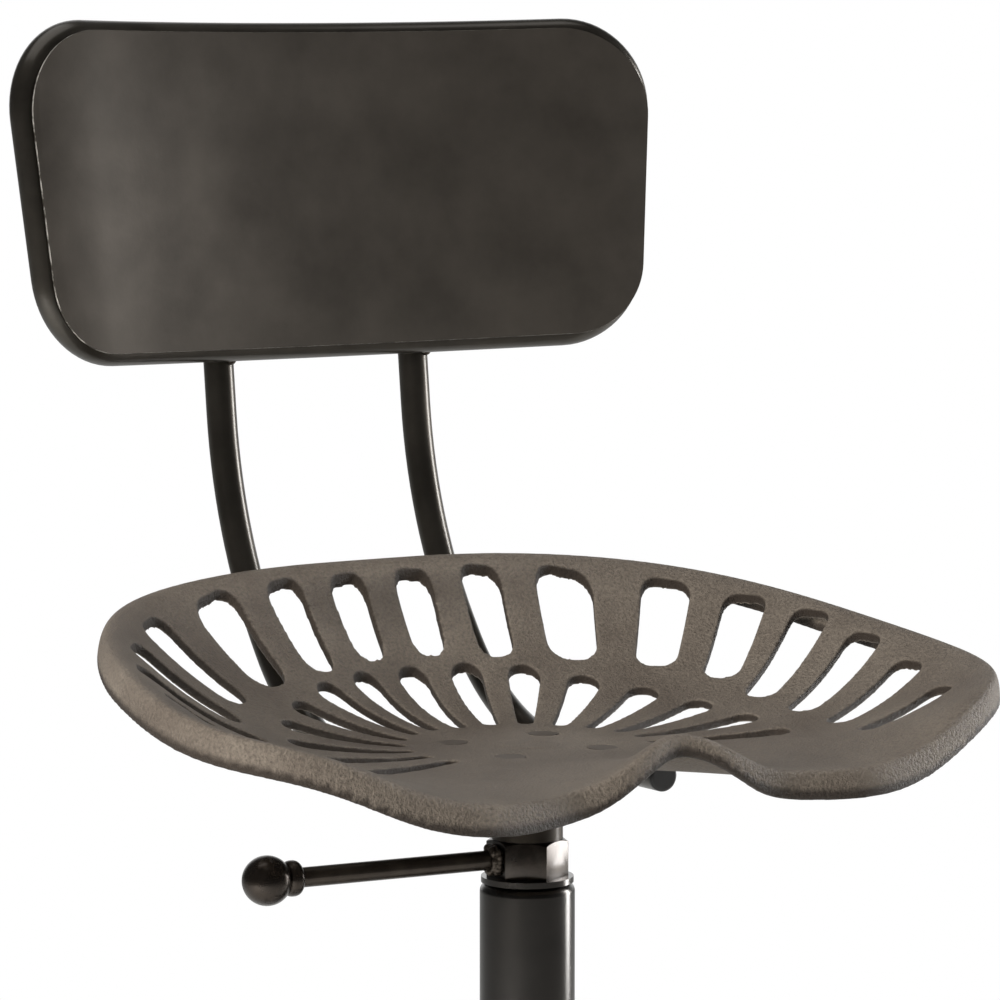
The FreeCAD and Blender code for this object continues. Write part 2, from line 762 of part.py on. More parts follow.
def foot(bearing, leg_bar):
    """A round rubber foot with a slanted socket for the leg's end."""
    centre = direction(bearing) * leg_floor_radius
    puck = Part.makeCylinder(foot_diameter / 2, foot_height, centre)
    rim = [e for e in puck.Edges if e.BoundBox.ZMin > foot_height - 0.001]
    return puck.makeFillet(foot_round, rim).cut(leg_bar)


def foot_ring():
    outer = Part.makeTorus(ring_radius, ring_diameter / 2, Vector(0, 0, ring_height))
    return outer.cut(Part.makeTorus(ring_radius, ring_diameter / 2 - ring_wall, Vector(0, 0, ring_height)))


def struts(leg_bars):
    column_start = Vector(0, 0, strut_height - strut_diameter)
    column = Part.makeCylinder(column_diameter / 2, 2 * strut_diameter, column_start)
    bars = []
    for bearing, leg_bar in zip(leg_bearings, leg_bars):
        out = direction(bearing)
        start = out * (column_diameter / 2 - 1) + z_axis * strut_height
        end = out * leg_radius_at(strut_height) + z_axis * strut_height
        bar = rod(strut_diameter, start, end).cut(leg_bar).cut(column)
        bars.append(largest(bar))
    return group(bars)


def leg_welds(leg_bars):
    """Upright beads in the grooves between each leg's top and the column."""
    column = Part.makeCylinder(column_diameter / 2, leg_top, Vector(0, 0, column_bottom))
    beads = []
    for bearing, leg_bar in zip(leg_bearings, leg_bars):
        out = direction(bearing)
        across = direction(bearing + 90)
        for side in (-1, 1):
            groove = out * (column_diameter / 2 + leg_weld_out) + across * side * leg_weld_side
            start = groove + z_axis * (leg_top - leg_weld_drop - leg_weld_length)
            beads.append(bead(start, start + z_axis * leg_weld_length, leg_weld_radius, [leg_bar, column]))
    return group(beads)


def ring_welds(leg_bars):
    """Beads above and below each place where the foot ring touches a leg."""
    bar = Part.makeTorus(ring_radius, ring_diameter / 2, Vector(0, 0, ring_height))
    beads = []
    for bearing, leg_bar in zip(leg_bearings, leg_bars):
        out = direction(bearing)
        along_leg = out * math.sin(leg_splay) - z_axis * math.cos(leg_splay)
        outward = out * math.cos(leg_splay) + z_axis * math.sin(leg_splay)
        contact = out * ring_radius + z_axis * ring_height - outward * (ring_diameter / 2)
        half = direction(bearing + 90) * (bead_length / 2)
        for step in (-1, 1):
            centre = contact + along_leg * step * bead_offset
            beads.append(bead(centre - half, centre + half, bead_radius, [leg_bar, bar]))
    return group(beads)


# Build and write every piece
os.makedirs("parts", exist_ok=True)

save(seat_pan(), "seat_pan")
plate = save(plate_shape(), "seat_plate")
bolts, washers, nuts = seat_fasteners()
save(bolts, "seat_bolts")
save(washers, "seat_washers")
save(nuts, "seat_nuts")
hub_bottom = lock_nut_top + hub_gap
save(ring(hub_diameter, screw_diameter, hub_bottom, plate_bottom - hub_bottom), "spindle_hub")
save(hub_weld_ring(), "hub_weld")
save(screw_spindle(), "screw_spindle")
guide_bore = journal_diameter + 2 * journal_gap
save(ring(2 * (column_inner_radius - guide_gap), guide_bore, guide_bottom, guide_length), "guide_bush")
retainer_bottom = guide_bottom - end_gap - retainer_thickness
save(ring(retainer_diameter, retainer_bolt_diameter, retainer_bottom, retainer_thickness), "retainer_washer")
save(retainer_bolt(), "retainer_bolt")

save(column_tube(), "column_tube")
save(thread_insert(), "thread_insert")
save(column_plug(), "column_plug")

save(lock_nut(), "lock_nut")
save(lever_rod(), "lever_rod")
save(lever_weld(), "lever_weld")
save(ball_knob(), "ball_knob")

uprights = [upright(-1), upright(1)]
save(uprights[0], "upright_right")
save(uprights[1], "upright_left")
front_ends = [Vector(s * upright_half_spacing, upright_front, upright_level) for s in (-1, 1)]
top_ends = [Vector(s * upright_half_spacing, upright_top.y, upright_top.z) for s in (-1, 1)]
save(group([tube_plug(end, Vector(0, -1, 0), upright_diameter, upright_wall) for end in front_ends]),
     "upright_front_plugs")
save(group([tube_plug(end, upright_heading, upright_diameter, upright_wall) for end in top_ends]),
     "upright_top_plugs")
frame_solid = leaned(frame_bar(frame_diameter))
frame = save(frame_solid.cut(leaned(frame_bar(frame_diameter - 2 * frame_wall))), "back_frame")
panel = save(leaned(panel_shape()), "back_panel")
save(back_welds(uprights, frame_solid), "back_welds")
save(panel_tacks(frame_solid, panel), "panel_tacks")
save(plate_welds(uprights, plate), "plate_welds")

leg_names = ["leg_front", "leg_left", "leg_rear", "leg_right"]
leg_bars = [leg_solid(bearing) for bearing in leg_bearings]
for name, bearing in zip(leg_names, leg_bearings):
    save(leg(bearing), name)
save(group([tube_plug(leg_points(b)[0], z_axis, leg_diameter, leg_wall) for b in leg_bearings]), "leg_plugs")
save(group([foot(b, bar) for b, bar in zip(leg_bearings, leg_bars)]), "rubber_feet")
save(foot_ring(), "foot_ring")
save(struts(leg_bars), "leg_struts")
save(leg_welds(leg_bars), "leg_welds")
save(ring_welds(leg_bars), "ring_welds")
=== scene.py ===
import math

import bmesh
import bpy
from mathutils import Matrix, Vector


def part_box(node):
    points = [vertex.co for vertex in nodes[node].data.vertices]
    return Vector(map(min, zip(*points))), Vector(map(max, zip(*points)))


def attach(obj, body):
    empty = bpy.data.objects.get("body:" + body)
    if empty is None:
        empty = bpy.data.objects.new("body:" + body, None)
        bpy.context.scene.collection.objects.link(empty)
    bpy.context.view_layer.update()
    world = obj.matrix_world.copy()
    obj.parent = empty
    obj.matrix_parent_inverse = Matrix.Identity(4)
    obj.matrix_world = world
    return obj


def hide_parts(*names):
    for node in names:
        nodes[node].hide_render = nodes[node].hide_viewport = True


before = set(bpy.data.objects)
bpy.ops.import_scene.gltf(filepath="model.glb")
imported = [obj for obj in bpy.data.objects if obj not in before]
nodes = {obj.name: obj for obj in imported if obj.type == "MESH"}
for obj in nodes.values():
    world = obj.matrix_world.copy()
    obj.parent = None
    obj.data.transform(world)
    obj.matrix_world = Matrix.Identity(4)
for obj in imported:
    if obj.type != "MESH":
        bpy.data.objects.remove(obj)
scene = bpy.context.scene
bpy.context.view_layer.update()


# Camera. A long lens from the sitter's right and a little above the seat, looking slightly down,
# so that the back rest fills the top of the view and the column runs out of the bottom.
sight = bpy.data.cameras.new("sight")
sight.sensor_width = 36.0
sight.lens = 173.16
sight.clip_start = 0.05
sight.clip_end = 60.0
camera = bpy.data.objects.new("camera", sight)
camera.location = (-1.3036, -2.0197, 0.9854)
camera.rotation_euler = (math.radians(84.03), 0.0, math.radians(-32.51))
scene.collection.objects.link(camera)
scene.camera = camera


# Studio. A white sweep behind the stool and a dim room in front of it, darker towards the floor, so that
# the seat's crests come out light and its openings dark. A tall soft box at the picture's right draws the
# bright stripe down the column, one hangs overhead, and glossy surfaces don't mirror the one at the left.
scene.view_settings.view_transform = "Standard"


def place(tree, kind, sockets=None, **settings):
    """Adds a node. Sockets are given by name or number, each a value or the socket that feeds it."""
    made = tree.nodes.new(kind)
    for name, value in settings.items():
        setattr(made, name, value)
    for name, value in (sockets or {}).items():
        if isinstance(value, bpy.types.NodeSocket):
            tree.links.new(value, made.inputs[name])
        else:
            made.inputs[name].default_value = value
    return made


def linear(code):
    """The linear colour of an sRGB hex code."""
    channels = [int(code[k:k + 2], 16) / 255 for k in (1, 3, 5)]
    bent = [c / 12.92 if c <= 0.04045 else ((c + 0.055) / 1.055) ** 2.4 for c in channels]
    return (*bent, 1.0)


ceiling_light = 0.46
horizon_light = 0.08
dark_below = 0.05
bright_above = 0.85
backdrop_way = (0.537, 0.843, 0.0)
front_dimness = 0.07
sweep_edge = 0.72
sweep_full = 0.97
world = bpy.data.worlds.new("studio")
world.use_nodes = True
scene.world = world
tree = world.node_tree
tree.nodes.clear()
ray = place(tree, "ShaderNodeLightPath")
way = place(tree, "ShaderNodeTexCoord")
facing = place(tree, "ShaderNodeVectorMath", {0: way.outputs["Generated"], 1: backdrop_way},
               operation="DOT_PRODUCT")
sweep = place(tree, "ShaderNodeMapRange", {
    "Value": facing.outputs["Value"],
    "From Min": sweep_edge,
    "From Max": sweep_full,
    "To Min": front_dimness,
    "To Max": 1.0,
})
upward = place(tree, "ShaderNodeSeparateXYZ", {0: way.outputs["Generated"]})
room = place(tree, "ShaderNodeMapRange", {
    "Value": upward.outputs["Z"],
    "From Min": dark_below,
    "From Max": bright_above,
    "To Min": horizon_light,
    "To Max": ceiling_light,
})
mirrored_ray = place(tree, "ShaderNodeMath", {
    0: ray.outputs["Is Glossy Ray"],
    1: ray.outputs["Is Transmission Ray"],
}, operation="MAXIMUM")
dim_or_sweep = place(tree, "ShaderNodeMix", {
    0: mirrored_ray.outputs[0],
    2: room.outputs["Result"],
    3: sweep.outputs["Result"],
})
strength = place(tree, "ShaderNodeMix", {
    0: ray.outputs["Is Camera Ray"],
    2: dim_or_sweep.outputs[0],
    3: 1.0,
})
glow = place(tree, "ShaderNodeBackground", {"Color": linear("#ffffff"), "Strength": strength.outputs[0]})
place(tree, "ShaderNodeOutputWorld", {"Surface": glow.outputs[0]})


def soft_box(name, spot, aim, width, height, watts, mirrored=True):
    """A rectangular lamp at one point that faces another. Glossy surfaces mirror it, or don't."""
    lamp = bpy.data.lights.new(name, "AREA")
    lamp.shape = "RECTANGLE"
    lamp.size = width
    lamp.size_y = height
    lamp.energy = watts
    holder = bpy.data.objects.new(name, lamp)
    holder.location = spot
    holder.rotation_euler = (Vector(aim) - Vector(spot)).to_track_quat("-Z", "Y").to_euler()
    holder.visible_glossy = mirrored
    scene.collection.objects.link(holder)


soft_box("side_box", spot=(1.90, -0.23, 0.85), aim=(0.0, 0.0, 0.65), width=0.5, height=1.5, watts=38.0)
soft_box("top_box", spot=(-0.1, 0.25, 2.6), aim=(0.0, 0.0, 0.6), width=1.8, height=1.8, watts=11.0)
soft_box("left_box", spot=(-2.1, -0.6, 1.2), aim=(0.0, 0.0, 0.7), width=0.8, height=0.8, watts=104.0,
         mirrored=False)


def new_object(name, mesh):
    """An object of the scene that holds a mesh."""
    made = bpy.data.objects.new(name, mesh)
    scene.collection.objects.link(made)
    return made


def new_piece(name, points, edges, faces):
    """An object with a mesh of its own, both under one name."""
    mesh = bpy.data.meshes.new(name)
    mesh.from_pydata(points, edges, faces)
    return new_object(name, mesh)


floor_reach = 14.0
floor_corners = [(x * floor_reach, y * floor_reach, 0.0) for x, y in ((-1, -1), (1, -1), (1, 1), (-1, 1))]
floor = new_piece("floor", floor_corners, [], [(0, 1, 2, 3)])

# Painted board, matt white: it takes the stool's shadow near its middle and runs out into plain white.
shadow_reach = 0.5
white_reach = 1.9
shadow_white = 0.55
board = bpy.data.materials.new("matt white board")
board.use_nodes = True
tree = board.node_tree
tree.nodes.clear()
where = place(tree, "ShaderNodeTexCoord")
distance = place(tree, "ShaderNodeVectorMath", {0: where.outputs["Object"]}, operation="LENGTH")
whiteness = place(tree, "ShaderNodeMapRange", {
    "Value": distance.outputs["Value"],
    "From Min": shadow_reach,
    "From Max": white_reach,
    "To Min": shadow_white,
    "To Max": 1.0,
})
ray = place(tree, "ShaderNodeLightPath")
seen = place(tree, "ShaderNodeMath", {0: ray.outputs["Is Camera Ray"], 1: whiteness.outputs["Result"]},
             operation="MULTIPLY")
paint = place(tree, "ShaderNodeBsdfDiffuse", {"Color": linear("#c8c8c6")})
plain_white = place(tree, "ShaderNodeEmission", {"Color": linear("#ffffff"), "Strength": 1.0})
surface = place(tree, "ShaderNodeMixShader", {
    0: seen.outputs[0], 1: paint.outputs[0], 2: plain_white.outputs[0],
})
place(tree, "ShaderNodeOutputMaterial", {"Surface": surface.outputs[0]})
floor.data.materials.append(board)


# Seat pan. Grey cast iron, poured in a sand mould, fettled and lacquered brown-grey. The openings' edges
# are soft from the mould and the shot blasting, and the skin keeps the grain of the sand.
same_point = 2e-6


def merged_copy(node, name):
    """A CAD node's triangles joined into one skin, as a new object."""
    work = bmesh.new()
    work.from_mesh(nodes[node].data)
    bmesh.ops.remove_doubles(work, verts=work.verts, dist=same_point)
    work.verts.index_update()
    points = [v.co.copy() for v in work.verts]
    faces = [[v.index for v in f.verts] for f in work.faces]
    work.free()
    return new_piece(name, points, [], faces)


def settled(piece):
    """The piece with its modifiers turned into plain mesh."""
    depsgraph = bpy.context.evaluated_depsgraph_get()
    mesh = bpy.data.meshes.new_from_object(piece.evaluated_get(depsgraph), depsgraph=depsgraph)
    piece.modifiers.clear()
    piece.data = mesh
    return piece


casting = merged_copy("seat_pan", "seat_casting")
sectors = 180
rim_band = 0.012


def sector_of(point):
    """Which of the equal sectors round the column a point lies in."""
    return int((math.atan2(point.y, point.x) / (2 * math.pi) + 0.5) * sectors) % sectors


def rim_lines(mesh):
    """For each sector: how far out the rim reaches, and the heights of its crest and its lip."""
    reach_out = [0.0] * sectors
    crest_level = [0.0] * sectors
    lip_level = [math.inf] * sectors
    for vertex in mesh.vertices:
        sector = sector_of(vertex.co)
        reach_out[sector] = max(reach_out[sector], vertex.co.xy.length)
    for vertex in mesh.vertices:
        sector = sector_of(vertex.co)
        if reach_out[sector] - vertex.co.xy.length < rim_band:
            crest_level[sector] = max(crest_level[sector], vertex.co.z)
            lip_level[sector] = min(lip_level[sector], vertex.co.z)
    return reach_out, crest_level, lip_level


# At the rear the rim is cast short, so that its lip stays out of sight behind the openings. It grows
# to its whole depth towards the sides.
rear_drop = 0.0085
least_share = 0.12
short_until = math.radians(36)
full_from = math.radians(80)
reach_out, crest_level, _ = rim_lines(casting.data)
for vertex in casting.data.vertices:
    sector = sector_of(vertex.co)
    bearing = abs(math.atan2(vertex.co.x, vertex.co.y))
    kept_share = min(1.0, max(least_share, (bearing - short_until) / (full_from - short_until)))
    level = crest_level[sector] - rear_drop
    if reach_out[sector] - vertex.co.xy.length < rim_band and vertex.co.z < level:
        vertex.co.z = level - (level - vertex.co.z) * kept_share

# The mould's skin: even, with every edge worn round, and then with no more triangles than it needs.
mould_step = 0.0009
most_triangles = 190000
skin = casting.modifiers.new("mould skin", "REMESH")
skin.mode = "VOXEL"
skin.voxel_size = mould_step
soften = casting.modifiers.new("blasted edges", "SMOOTH")
soften.factor = 0.5
soften.iterations = 14
regain = casting.modifiers.new("full body", "SMOOTH")
regain.factor = -0.5
regain.iterations = 6
settled(casting)
casting.data.calc_loop_triangles()
thin_out = casting.modifiers.new("fewer triangles", "DECIMATE")
thin_out.ratio = min(1.0, most_triangles / len(casting.data.loop_triangles))
last_pass = casting.modifiers.new("worn skin", "SMOOTH")
last_pass.factor = 0.5
last_pass.iterations = 5
settled(casting)
casting.data.shade_smooth()

# Painted shade: the openings' upright walls and a band along the rim's lower edge are marked for
# darkening.
edge_band = 0.0065
edge_fade = 0.0025
wall_tilt = 0.62
wall_fade = 0.3
reach_out, _, lip_level = rim_lines(casting.data)
painted_shade = casting.data.attributes.new("painted shade", "FLOAT", "POINT")
for vertex in casting.data.vertices:
    sector = sector_of(vertex.co)
    if reach_out[sector] - vertex.co.xy.length > rim_band:
        amount = (wall_tilt - abs(vertex.normal.z)) / wall_fade
    else:
        amount = (edge_band - vertex.co.z + lip_level[sector]) / edge_fade
    painted_shade.data[vertex.index].value = min(1.0, max(0.0, amount))


def new_finish(name):
    """A material with one shader, its tree, and the object's own coordinates."""
    material = bpy.data.materials.new(name)
    material.use_nodes = True
    tree = material.node_tree
    tree.nodes.clear()
    shader = place(tree, "ShaderNodeBsdfPrincipled")
    place(tree, "ShaderNodeOutputMaterial", {"Surface": shader.outputs[0]})
    coordinates = place(tree, "ShaderNodeTexCoord").outputs["Object"]
    return material, tree, shader, coordinates


def millimetres(size):
    """The noise scale that draws marks of this size."""
    return 1000.0 / size


def feed(tree, shader, **sockets):
    """Links sockets to the shader's inputs, whose names have spaces for underscores."""
    for name, source in sockets.items():
        tree.links.new(source, shader.inputs[name.replace("_", " ")])


# Lacquered cast iron: matt and grainy, lighter on crests and edges, partly where the lacquer is rubbed and
# partly as a painted highlight.
# The sand's grains are about 0.3 mm, and they are drawn at 1.6 mm so that they show.
cast_iron, tree, shader, spot = new_finish("lacquered cast iron")
shader.inputs["Metallic"].default_value = 0.25
cloud = place(tree, "ShaderNodeTexNoise", {
    "Vector": spot, "Scale": millimetres(70), "Detail": 4.0, "Roughness": 0.6,
})
stain = place(tree, "ShaderNodeValToRGB", {"Fac": cloud.outputs["Fac"]})
stain.color_ramp.elements[0].position = 0.3
stain.color_ramp.elements[0].color = linear("#62584e")
stain.color_ramp.elements[1].position = 0.7
stain.color_ramp.elements[1].color = linear("#7b7165")
# Painted highlight, partly rubbed lacquer: crests and edges, found by pointiness, are mixed towards a pale
# colour.
crest = place(tree, "ShaderNodeNewGeometry")
rubbed_and_highlit = place(tree, "ShaderNodeMapRange", {
    "Value": crest.outputs["Pointiness"], "From Min": 0.5, "From Max": 0.62, "To Min": 0.0, "To Max": 0.55,
})
iron_colour = place(tree, "ShaderNodeMix", {
    0: rubbed_and_highlit.outputs["Result"], 6: stain.outputs["Color"], 7: linear("#9a9084"),
}, data_type="RGBA")
# Painted shade: the marked walls and lip band are mixed towards a dark brown.
painted_shade_input = place(tree, "ShaderNodeAttribute", attribute_name="painted shade")
with_painted_shade = place(tree, "ShaderNodeMix", {
    0: painted_shade_input.outputs["Fac"], 6: iron_colour.outputs[2], 7: linear("#332c26"),
}, data_type="RGBA")
sand_size = 1.6
sand = place(tree, "ShaderNodeTexNoise", {
    "Vector": spot, "Scale": millimetres(sand_size), "Detail": 3.0, "Roughness": 0.65,
})
pits = place(tree, "ShaderNodeMapRange", {
    "Value": sand.outputs["Fac"], "From Min": 0.3, "From Max": 0.62, "To Min": 0.6, "To Max": 0.0,
})
pitted = place(tree, "ShaderNodeMix", {
    0: pits.outputs["Result"], 6: with_painted_shade.outputs[2], 7: linear("#352e28"),
}, data_type="RGBA")
lumps = place(tree, "ShaderNodeTexNoise", {
    "Vector": spot, "Scale": millimetres(9), "Detail": 2.0, "Roughness": 0.5,
})
lump_relief = place(tree, "ShaderNodeBump", {
    "Height": lumps.outputs["Fac"], "Distance": 0.0006, "Strength": 0.6,
})
sand_relief = place(tree, "ShaderNodeBump", {
    "Height": sand.outputs["Fac"], "Distance": 0.0014, "Strength": 1.0,
    "Normal": lump_relief.outputs["Normal"],
})
dullness = place(tree, "ShaderNodeMapRange", {
    "Value": sand.outputs["Fac"], "From Min": 0.3, "From Max": 0.7, "To Min": 0.5, "To Max": 0.68,
})
feed(tree, shader, Base_Color=pitted.outputs[2], Roughness=dullness.outputs["Result"],
     Normal=sand_relief.outputs["Normal"])

casting.data.materials.append(cast_iron)
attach(casting, "seat")
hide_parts("seat_pan")


# Seat bolts. Four countersunk steel bolts, sunk flush and lacquered over with the casting,
# so that only a faint ring shows round each head.
def dress(node, material):
    """A CAD node keeps its shape and takes a finish."""
    mesh = nodes[node].data
    mesh.materials.clear()
    mesh.materials.append(material)


# Lacquered turned steel: darker than the casting, with less relief, since a turned head is smoother.
bolt_lacquer, tree, shader, spot = new_finish("lacquered turned steel")
shader.inputs["Metallic"].default_value = 0.3
speck = place(tree, "ShaderNodeTexNoise", {"Vector": spot, "Scale": millimetres(2.5), "Detail": 3.0})
bolt_colour = place(tree, "ShaderNodeMix", {
    0: speck.outputs["Fac"], 6: linear("#3d362f"), 7: linear("#5c5349"),
}, data_type="RGBA")
bolt_relief = place(tree, "ShaderNodeBump", {
    "Height": speck.outputs["Fac"], "Distance": 0.0002, "Strength": 0.5,
})
bolt_dullness = place(tree, "ShaderNodeMapRange", {
    "Value": speck.outputs["Fac"], "To Min": 0.45, "To Max": 0.65,
})
feed(tree, shader, Base_Color=bolt_colour.outputs[2], Roughness=bolt_dullness.outputs["Result"],
     Normal=bolt_relief.outputs["Normal"])
dress("seat_bolts", bolt_lacquer)


# Uprights and back frame. Thin-walled round steel tube, bent cold, welded and coated in a dark bronze
# baked lacquer. The coat is satin, with the faint ripple of sprayed lacquer.
def bronze_lacquer(name, dark, light, metallic, gloss_low, gloss_high, cloud_size, coat=0.12):
    """Baked bronze lacquer over steel: cloudy in colour and gloss, finely rippled."""
    material, tree, shader, spot = new_finish(name)
    shader.inputs["Metallic"].default_value = metallic
    shader.inputs["Coat Weight"].default_value = coat
    shader.inputs["Coat Roughness"].default_value = 0.18
    cloud = place(tree, "ShaderNodeTexNoise", {
        "Vector": spot, "Scale": millimetres(cloud_size), "Detail": 5.0, "Roughness": 0.62,
    })
    speck = place(tree, "ShaderNodeTexNoise", {"Vector": spot, "Scale": millimetres(2.2), "Detail": 2.0})
    spread = place(tree, "ShaderNodeMapRange", {
        "Value": cloud.outputs["Fac"], "From Min": 0.3, "From Max": 0.7,
    })
    colour = place(tree, "ShaderNodeMix", {
        0: spread.outputs["Result"], 6: linear(dark), 7: linear(light),
    }, data_type="RGBA")
    gloss = place(tree, "ShaderNodeMapRange", {
        "Value": cloud.outputs["Fac"], "From Min": 0.3, "From Max": 0.7,
        "To Min": gloss_low, "To Max": gloss_high,
    })
    relief = place(tree, "ShaderNodeBump", {
        "Height": speck.outputs["Fac"], "Distance": 0.00006, "Strength": 0.5,
    })
    feed(tree, shader, Base_Color=colour.outputs[2], Roughness=gloss.outputs["Result"],
         Normal=relief.outputs["Normal"])
    return material


tube_lacquer = bronze_lacquer("baked bronze lacquer on tube", "#39352f", "#46413a", 0.9, 0.3, 0.42, 30,
                              coat=0.5)
dress("upright_left", tube_lacquer)
dress("upright_right", tube_lacquer)
dress("back_frame", tube_lacquer)


# Back panel. Sheet steel 1.5 mm thick, rolled to the frame's bow and tacked to its front. Its sheared edge
# has the lacquer rubbed thin and carries a painted highlight, which draws a pale broken line just inside
# the tube's outline.
panel_lacquer = bronze_lacquer("baked bronze lacquer on sheet", "#46413b", "#544e47", 0.7, 0.36, 0.44, 45)

# Rubbed sheet edge: bare steel shows in specks through the lacquer, painted near white as a highlight
# where the edge catches the light.
rubbed_and_highlit_edge, tree, shader, spot = new_finish("rubbed and highlit sheet edge")
shader.inputs["Metallic"].default_value = 0.8
wear_and_glint = place(tree, "ShaderNodeTexNoise", {
    "Vector": spot, "Scale": millimetres(7), "Detail": 6.0, "Roughness": 0.75,
})
bare_and_glint = place(tree, "ShaderNodeMapRange", {
    "Value": wear_and_glint.outputs["Fac"], "From Min": 0.42, "From Max": 0.56,
})
edge_colour = place(tree, "ShaderNodeMix", {
    0: bare_and_glint.outputs["Result"], 6: linear("#4a443d"), 7: linear("#d8d2c8"),
}, data_type="RGBA")
edge_gloss = place(tree, "ShaderNodeMapRange", {
    "Value": wear_and_glint.outputs["Fac"], "To Min": 0.5, "To Max": 0.3,
})
feed(tree, shader, Base_Color=edge_colour.outputs[2], Roughness=edge_gloss.outputs["Result"])

burr_radius = 0.0004
panel = merged_copy("back_panel", "panel_sheet")
round_edge = panel.modifiers.new("deburred edge", "BEVEL")
round_edge.width = burr_radius
round_edge.segments = 2
round_edge.limit_method = "ANGLE"
round_edge.angle_limit = math.radians(60)
settled(panel)
panel.data.shade_smooth()
panel.data.set_sharp_from_angle(angle=math.radians(45))
panel.data.materials.append(panel_lacquer)
panel.data.materials.append(rubbed_and_highlit_edge)

# Faces that look along the sheet are its sheared edge.
panel_lean = math.radians(6.4)
bow_radius = 0.6
edge_share = 0.6
for face in panel.data.polygons:
    bow = math.asin(face.center.x / bow_radius)
    outward = Vector((math.sin(bow), math.cos(bow) * math.cos(panel_lean), -math.sin(panel_lean)))
    if abs(face.normal.dot(outward.normalized())) < edge_share:
        face.material_index = 1
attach(panel, "seat")
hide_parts("back_panel")


# Tube plugs. Push-in plugs of black polythene close the open ends of the uprights and the legs.
# Moulded polythene: almost black, matt, with the mould's faint spark texture. That is about 0.1 mm
# across, and it is drawn at 0.9 mm so that it shows.
polythene, tree, shader, spot = new_finish("moulded black polythene")
shader.inputs["IOR"].default_value = 1.51
spark = place(tree, "ShaderNodeTexNoise", {"Vector": spot, "Scale": millimetres(0.9), "Detail": 2.0})
soot = place(tree, "ShaderNodeMix", {
    0: spark.outputs["Fac"], 6: linear("#1b1a19"), 7: linear("#2a2827"),
}, data_type="RGBA")
spark_relief = place(tree, "ShaderNodeBump", {
    "Height": spark.outputs["Fac"], "Distance": 0.00005, "Strength": 0.6,
})
spark_gloss = place(tree, "ShaderNodeMapRange", {
    "Value": spark.outputs["Fac"], "To Min": 0.42, "To Max": 0.58,
})
feed(tree, shader, Base_Color=soot.outputs[2], Roughness=spark_gloss.outputs["Result"],
     Normal=spark_relief.outputs["Normal"])
dress("upright_front_plugs", polythene)
dress("upright_top_plugs", polythene)
dress("leg_plugs", polythene)
dress("column_plug", polythene)


# Column. Steel pipe 48.3 mm across with its top edge turned over, coated like the tubes but glossier,
# and a flanged threaded bush pressed into its top.
column_lacquer = bronze_lacquer("baked bronze lacquer on pipe", "#2b2825", "#3a3632", 1.0, 0.22, 0.28, 35,
                                coat=0.6)
dress("column_tube", column_lacquer)
dress("thread_insert", column_lacquer)
dress("leg_struts", column_lacquer)


# Lock nut. A large hexagon nut with chamfered corners, lacquered and rubbed on its flats. Its bore
# runs on the screw, and turning it down on the column's bush locks the seat.
nut_lacquer = bronze_lacquer("rubbed bronze lacquer on nut", "#302a25", "#403831", 1.0, 0.26, 0.38, 6,
                             coat=0.5)
corner_wear = 0.0005
nut = merged_copy("lock_nut", "clamp_nut")
worn_corner = nut.modifiers.new("worn corners", "BEVEL")
worn_corner.width = corner_wear
worn_corner.segments = 2
worn_corner.limit_method = "ANGLE"
worn_corner.angle_limit = math.radians(25)
settled(nut)
nut.data.shade_smooth()
nut.data.set_sharp_from_angle(angle=math.radians(50))
nut.data.materials.append(nut_lacquer)
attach(nut, "lever")
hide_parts("lock_nut")


# Lever. A 10 mm steel bar welded into the nut's flat, with a turned ball, neck and collar on its end.
# Both are coated in a near-black bronze, the ball polished by the hand.
lever_lacquer = bronze_lacquer("black bronze on bar", "#3b342e", "#4b433b", 0.95, 0.32, 0.42, 12, coat=0.3)
ball_lacquer = bronze_lacquer("black bronze on ball", "#332d28", "#413932", 0.95, 0.24, 0.32, 10, coat=0.3)
dress("lever_rod", lever_lacquer)
dress("ball_knob", ball_lacquer)


# Weld beads. Each joint has a bead of overlapping ripples, left as laid and coated with the rest.
def group_input(tree, name, kind):
    """A named input of a node tree."""
    tree.interface.new_socket(name, in_out="INPUT", socket_type=kind)


bead_tree = bpy.data.node_groups.new("weld bead", "GeometryNodeTree")
bead_tree.is_modifier = True
bead_tree.interface.new_socket("Geometry", in_out="OUTPUT", socket_type="NodeSocketGeometry")
group_input(bead_tree, "Geometry", "NodeSocketGeometry")
group_input(bead_tree, "Bead Radius", "NodeSocketFloat")
group_input(bead_tree, "Ripple Spacing", "NodeSocketFloat")
group_input(bead_tree, "Unevenness", "NodeSocketFloat")
group_input(bead_tree, "Seed", "NodeSocketInt")
group_input(bead_tree, "Finish", "NodeSocketMaterial")
given = place(bead_tree, "NodeGroupInput")
path = place(bead_tree, "GeometryNodeMeshToCurve", {"Mesh": given.outputs["Geometry"]})
beads_apart = place(bead_tree, "GeometryNodeResampleCurve", {
    "Curve": path.outputs["Curve"], "Length": given.outputs["Ripple Spacing"],
}, mode="LENGTH")
drop = place(bead_tree, "GeometryNodeMeshIcoSphere", {
    "Radius": given.outputs["Bead Radius"], "Subdivisions": 3,
})
least = place(bead_tree, "ShaderNodeMath", {0: 1.0, 1: given.outputs["Unevenness"]}, operation="SUBTRACT")
drop_size = place(bead_tree, "FunctionNodeRandomValue", {
    2: least.outputs[0], 3: 1.0, "Seed": given.outputs["Seed"],
}, data_type="FLOAT")
laid = place(bead_tree, "GeometryNodeInstanceOnPoints", {
    "Points": beads_apart.outputs["Curve"],
    "Instance": drop.outputs["Mesh"],
    "Scale": drop_size.outputs[1],
})
real_drops = place(bead_tree, "GeometryNodeRealizeInstances", {"Geometry": laid.outputs["Instances"]})
coated = place(bead_tree, "GeometryNodeSetMaterial", {
    "Geometry": real_drops.outputs["Geometry"], "Material": given.outputs["Finish"],
})
place(bead_tree, "NodeGroupOutput", {"Geometry": coated.outputs["Geometry"]})


